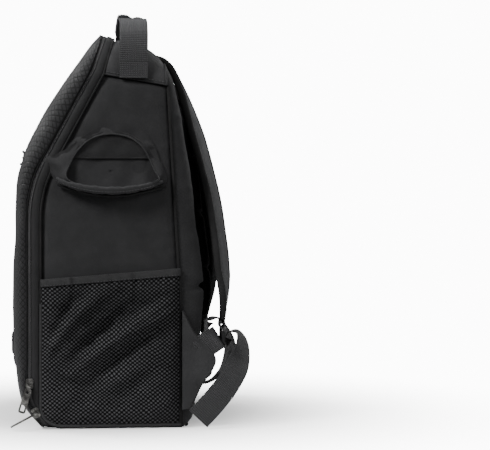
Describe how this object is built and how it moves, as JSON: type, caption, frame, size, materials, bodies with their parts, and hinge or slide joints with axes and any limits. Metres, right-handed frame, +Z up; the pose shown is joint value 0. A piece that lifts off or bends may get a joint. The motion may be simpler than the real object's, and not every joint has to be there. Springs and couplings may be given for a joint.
{
  "type": "drone carrying case",
  "caption": "Upright backpack-style soft case with zipped front lid, padded dividers, side pockets, webbing carry handle and padded shoulder straps.",
  "frame": {"origin": "middle of the bottom panel's resting face", "axes": "+Z up; the zipped lid faces -Y; the shoulder straps are on +Y; +X is the wearer's right"},
  "size_m": [0.3773, 0.2989, 0.5065],
  "materials": {
    "plain_nylon": "plain-woven nylon",
    "ripstop": "diamond ripstop nylon",
    "mesh": "knitted spacer mesh",
    "binding": "woven elastic binding",
    "webbing": "ribbed nylon webbing",
    "padded_nylon": "nylon over foam",
    "foam_lining": "brushed loop lining over foam",
    "zip_coil": "satin",
    "zinc": "dull plated",
    "acetal": "moulded",
    "badge": "matte, yellow rule",
    "label": "satin tape, blank"
  },
  "bodies": {
    "case": {"side_panel_right": "plain_nylon", "side_panel_left": "plain_nylon", "bottom_panel": "plain_nylon", "base_board": "acetal", "top_yoke": "plain_nylon", "back_panel": "plain_nylon", "back_pad_right": "mesh", "back_pad_left": "mesh", "zip_gusset": "plain_nylon", "zip_teeth_case": "zip_coil", "mesh_pocket": "mesh", "mesh_pocket_binding": "binding", "ripstop_pocket": "ripstop", "ripstop_pocket_binding": "binding", "side_pouch": "plain_nylon", "wing_right": "plain_nylon", "wing_left": "plain_nylon", "handle_anchors": "webbing", "trolley_band": "webbing", "care_label": "label", "insert_back": "foam_lining", "insert_side_right": "foam_lining", "insert_side_left": "foam_lining", "insert_floor": "foam_lining", "shelf_lower": "foam_lining", "shelf_upper": "foam_lining", "adjuster_web_right": "webbing", "adjuster_web_left": "webbing"},
    "lid": {"lid_shell": "ripstop", "zip_teeth_lid": "zip_coil", "lid_foam": "foam_lining", "lid_liner": "foam_lining", "lid_pocket": "plain_nylon", "lid_pocket_zip": "zip_coil", "lid_badge": "badge", "lid_organiser": "mesh"},
    "handle": {"handle_webbing": "webbing", "handle_grip": "padded_nylon"},
    "strap_right": {"strap_right": "padded_nylon", "ladder_lock_right": "acetal", "web_tail_right": "webbing"},
    "strap_left": {"strap_left": "padded_nylon", "ladder_lock_left": "acetal", "web_tail_left": "webbing"},
    "divider_right": {"divider_right": "foam_lining"},
    "divider_left": {"divider_left": "foam_lining"},
    "slider_upper": {"slider_upper": "zinc"},
    "pull_upper": {"pull_upper": "zinc"},
    "slider_lower": {"slider_lower": "zinc"},
    "pull_lower": {"pull_lower": "zinc"},
    "pocket_slider": {"pocket_slider": "zinc"},
    "pocket_pull": {"pocket_pull": "zinc"}
  },
  "joints": [
    {"name": "lid_hinge", "type": "hinge", "parent": "case", "child": "lid", "pos_m": [0, -0.076, 0.003], "axis": [1, 0, 0], "range_deg": [0, 46]},
    {"name": "handle_swing", "type": "hinge", "parent": "case", "child": "handle", "pos_m": [0, 0.028, 0.43], "axis": [1, 0, 0], "range_deg": [-25, 25]},
    {"name": "strap_right_swing", "type": "hinge", "parent": "case", "child": "strap_right", "pos_m": [0.082, 0.072, 0.44], "axis": [1, 0, 0], "range_deg": [-2, 14], "deforming": ["adjuster_web_right"]},
    {"name": "strap_left_swing", "type": "hinge", "parent": "case", "child": "strap_left", "pos_m": [-0.082, 0.072, 0.44], "axis": [1, 0, 0], "range_deg": [-2, 14], "deforming": ["adjuster_web_left"]},
    {"name": "divider_right_slide", "type": "slide", "parent": "case", "child": "divider_right", "axis": [1, 0, 0], "range_m": [-0.035, 0.06]},
    {"name": "divider_left_slide", "type": "slide", "parent": "case", "child": "divider_left", "axis": [1, 0, 0], "range_m": [-0.06, 0.035]},
    {"name": "slider_upper_travel", "type": "slide", "parent": "case", "child": "slider_upper", "axis": [0, 0, 1], "range_m": [0, 0.18]},
    {"name": "pull_upper_flip", "type": "hinge", "parent": "slider_upper", "child": "pull_upper", "pos_m": [0.1757, -0.096, 0.052], "axis": [0, -0.9563, 0.2924], "range_deg": [0, 150]},
    {"name": "slider_lower_travel", "type": "slide", "parent": "case", "child": "slider_lower", "axis": [0, -0.3746, 0.9272], "range_m": [0, 0.008]},
    {"name": "pull_lower_swing", "type": "hinge", "parent": "slider_lower", "child": "pull_lower", "pos_m": [0.1813, -0.0885, 0.02], "axis": [-1, 0, 0], "range_deg": [0, 70]},
    {"name": "pocket_slider_travel", "type": "slide", "parent": "lid", "child": "pocket_slider", "axis": [1, 0, 0], "range_m": [0, 0.23]},
    {"name": "pocket_pull_flip", "type": "hinge", "parent": "pocket_slider", "child": "pocket_pull", "pos_m": [-0.118, -0.11139, 0.32689], "axis": [-1, 0, 0], "range_deg": [0, 140]}
  ]
}
